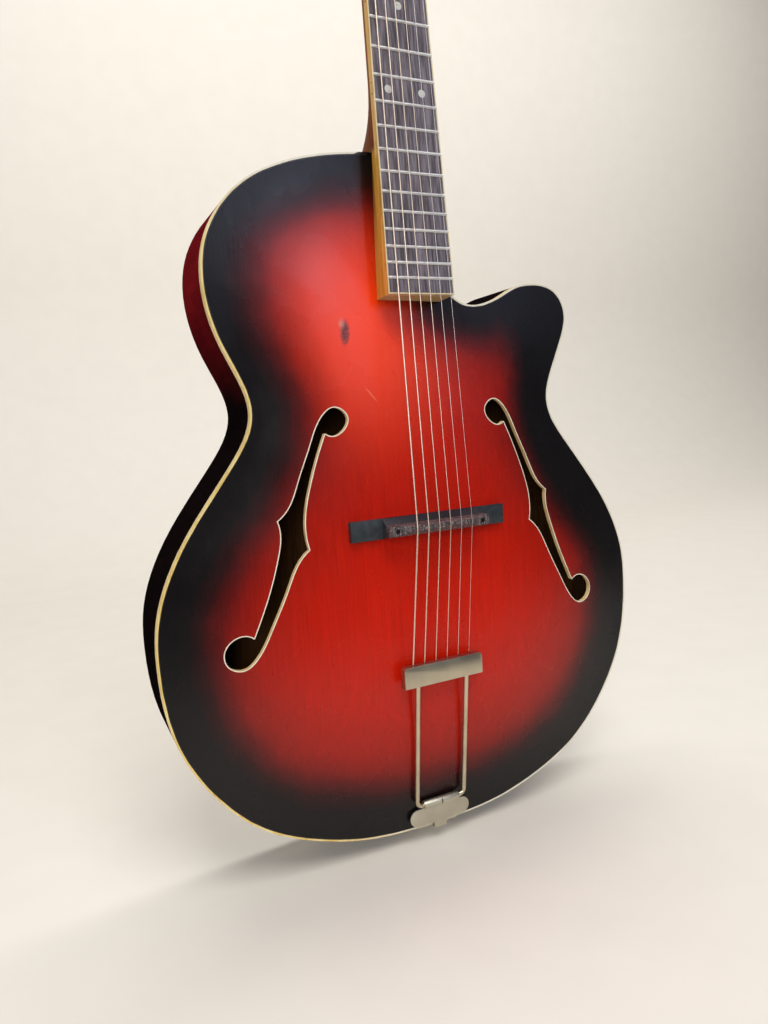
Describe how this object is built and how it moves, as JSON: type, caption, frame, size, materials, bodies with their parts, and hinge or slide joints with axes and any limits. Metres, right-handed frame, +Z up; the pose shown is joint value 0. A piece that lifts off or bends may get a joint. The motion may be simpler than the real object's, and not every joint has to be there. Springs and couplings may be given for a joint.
{
  "type": "archtop guitar",
  "caption": "Hollow archtop guitar with a rounded cutaway, f-holes, floating adjustable bridge, hinged trapeze tailpiece and geared tuners that wind the strings.",
  "frame": {"origin": "centre of the strap pin's end face at the tail", "axes": "+Z up the neck to the headstock, +X to the treble side, +Y to the back; the top faces -Y"},
  "size_m": [0.442, 0.1253, 1.0901],
  "materials": {
    "spruce_top": "red to black sunburst lacquer",
    "maple_body": "dark red to black lacquer",
    "inner_wood": "bare wood",
    "ivory_celluloid": "aged ivory celluloid",
    "neck_wood": "amber lacquer",
    "rosewood": "oiled rosewood",
    "ebonised_wood": "ebonised",
    "nickel": "aged nickel plate",
    "string_metal": "wound bronze and plain steel",
    "pearl": "pearl",
    "black_plastic": "black",
    "bone": "bone",
    "steel": "bare steel",
    "brass": "bare brass",
    "cream_plastic": "cream plastic"
  },
  "bodies": {
    "guitar_body": {"top_plate": "spruce_top", "back_plate": "maple_body", "rib_bass": "maple_body", "rib_treble": "maple_body", "top_linings": "inner_wood", "back_linings": "inner_wood", "neck_block": "inner_wood", "tail_block": "inner_wood", "tone_bars": "spruce_top", "top_binding": "ivory_celluloid", "back_binding": "maple_body", "f_hole_bindings": "ivory_celluloid", "neck": "neck_wood", "fingerboard": "rosewood", "fingerboard_binding": "ivory_celluloid", "frets": "nickel", "position_dots": "pearl", "side_dots": "black_plastic", "nut": "bone", "truss_rod": "steel", "truss_rod_cover": "black_plastic", "headstock_veneer": "black_plastic", "tuner_plate_bass": "nickel", "tuner_plate_treble": "nickel", "tuner_bushings": "nickel", "wood_screws": "nickel", "bridge_base": "ebonised_wood", "tailpiece_bracket": "nickel", "bracket_screws": "nickel", "end_pin": "nickel", "strings": "string_metal"},
    "saddle": {"bridge_saddle": "rosewood"},
    "screw_bass": {"bridge_screw_bass": "nickel"},
    "screw_treble": {"bridge_screw_treble": "nickel"},
    "tailpiece": {"tailpiece_rods": "nickel", "tailpiece_bar": "nickel"},
    "worm_6": {"tuner_worm_6": "nickel", "tuner_button_6": "cream_plastic"},
    "post_6": {"tuner_post_6": "nickel", "tuner_gear_6": "brass"},
    "worm_5": {"tuner_worm_5": "nickel", "tuner_button_5": "cream_plastic"},
    "post_5": {"tuner_post_5": "nickel", "tuner_gear_5": "brass"},
    "worm_4": {"tuner_worm_4": "nickel", "tuner_button_4": "cream_plastic"},
    "post_4": {"tuner_post_4": "nickel", "tuner_gear_4": "brass"},
    "worm_1": {"tuner_worm_1": "nickel", "tuner_button_1": "cream_plastic"},
    "post_1": {"tuner_post_1": "nickel", "tuner_gear_1": "brass"},
    "worm_2": {"tuner_worm_2": "nickel", "tuner_button_2": "cream_plastic"},
    "post_2": {"tuner_post_2": "nickel", "tuner_gear_2": "brass"},
    "worm_3": {"tuner_worm_3": "nickel", "tuner_button_3": "cream_plastic"},
    "post_3": {"tuner_post_3": "nickel", "tuner_gear_3": "brass"}
  },
  "joints": [
    {"name": "bridge_screw_bass_turn", "type": "hinge", "parent": "guitar_body", "child": "screw_bass", "pos_m": [-0.0385, -0.07, 0.2797], "axis": [0, -1, 0], "range_deg": [-1543.63, 771.81]},
    {"name": "bridge_screw_treble_turn", "type": "hinge", "parent": "guitar_body", "child": "screw_treble", "pos_m": [0.0385, -0.07, 0.2797], "axis": [0, -1, 0], "range_deg": [-1543.63, 771.81]},
    {"name": "saddle_height", "type": "slide", "parent": "guitar_body", "child": "saddle", "axis": [0, -1, 0], "range_m": [-0.0015, 0.003], "deforming": ["strings"]},
    {"name": "tailpiece_hinge", "type": "hinge", "parent": "guitar_body", "child": "tailpiece", "pos_m": [0, -0.0415, 0.0372], "axis": [1, 0, 0], "range_deg": [-2, 4], "stiffness_Nm_per_rad": 20, "deforming": ["strings"]},
    {"name": "tuner_6_button_turn", "type": "hinge", "parent": "guitar_body", "child": "worm_6", "pos_m": [-0.023, 0.00184, 0.95503], "axis": [1, 0, 0], "continuous": true},
    {"name": "tuner_6_post_turn", "type": "hinge", "parent": "guitar_body", "child": "post_6", "pos_m": [-0.023, -0.01522, 0.96787], "axis": [0, 0.955, -0.2967], "continuous": true},
    {"name": "tuner_5_button_turn", "type": "hinge", "parent": "guitar_body", "child": "worm_5", "pos_m": [-0.023, 0.01312, 0.99132], "axis": [1, 0, 0], "continuous": true},
    {"name": "tuner_5_post_turn", "type": "hinge", "parent": "guitar_body", "child": "post_5", "pos_m": [-0.023, -0.00394, 1.00416], "axis": [0, 0.955, -0.2967], "continuous": true},
    {"name": "tuner_4_button_turn", "type": "hinge", "parent": "guitar_body", "child": "worm_4", "pos_m": [-0.023, 0.02439, 1.02761], "axis": [1, 0, 0], "continuous": true},
    {"name": "tuner_4_post_turn", "type": "hinge", "parent": "guitar_body", "child": "post_4", "pos_m": [-0.023, 0.00733, 1.04045], "axis": [0, 0.955, -0.2967], "continuous": true},
    {"name": "tuner_1_button_turn", "type": "hinge", "parent": "guitar_body", "child": "worm_1", "pos_m": [0.023, 0.00184, 0.95503], "axis": [1, 0, 0], "continuous": true},
    {"name": "tuner_1_post_turn", "type": "hinge", "parent": "guitar_body", "child": "post_1", "pos_m": [0.023, -0.01522, 0.96787], "axis": [0, 0.955, -0.2967], "continuous": true},
    {"name": "tuner_2_button_turn", "type": "hinge", "parent": "guitar_body", "child": "worm_2", "pos_m": [0.023, 0.01312, 0.99132], "axis": [1, 0, 0], "continuous": true},
    {"name": "tuner_2_post_turn", "type": "hinge", "parent": "guitar_body", "child": "post_2", "pos_m": [0.023, -0.00394, 1.00416], "axis": [0, 0.955, -0.2967], "continuous": true},
    {"name": "tuner_3_button_turn", "type": "hinge", "parent": "guitar_body", "child": "worm_3", "pos_m": [0.023, 0.02439, 1.02761], "axis": [1, 0, 0], "continuous": true},
    {"name": "tuner_3_post_turn", "type": "hinge", "parent": "guitar_body", "child": "post_3", "pos_m": [0.023, 0.00733, 1.04045], "axis": [0, 0.955, -0.2967], "continuous": true}
  ],
  "couplings": [
    {"joint": "bridge_screw_bass_turn", "follows": "saddle_height", "rad_per_m": -8976},
    {"joint": "bridge_screw_treble_turn", "follows": "saddle_height", "rad_per_m": -8976},
    {"joint": "tuner_6_post_turn", "follows": "tuner_6_button_turn", "ratio": 0.071429},
    {"joint": "tuner_5_post_turn", "follows": "tuner_5_button_turn", "ratio": 0.071429},
    {"joint": "tuner_4_post_turn", "follows": "tuner_4_button_turn", "ratio": 0.071429},
    {"joint": "tuner_1_post_turn", "follows": "tuner_1_button_turn", "ratio": 0.071429},
    {"joint": "tuner_2_post_turn", "follows": "tuner_2_button_turn", "ratio": 0.071429},
    {"joint": "tuner_3_post_turn", "follows": "tuner_3_button_turn", "ratio": 0.071429}
  ]
}
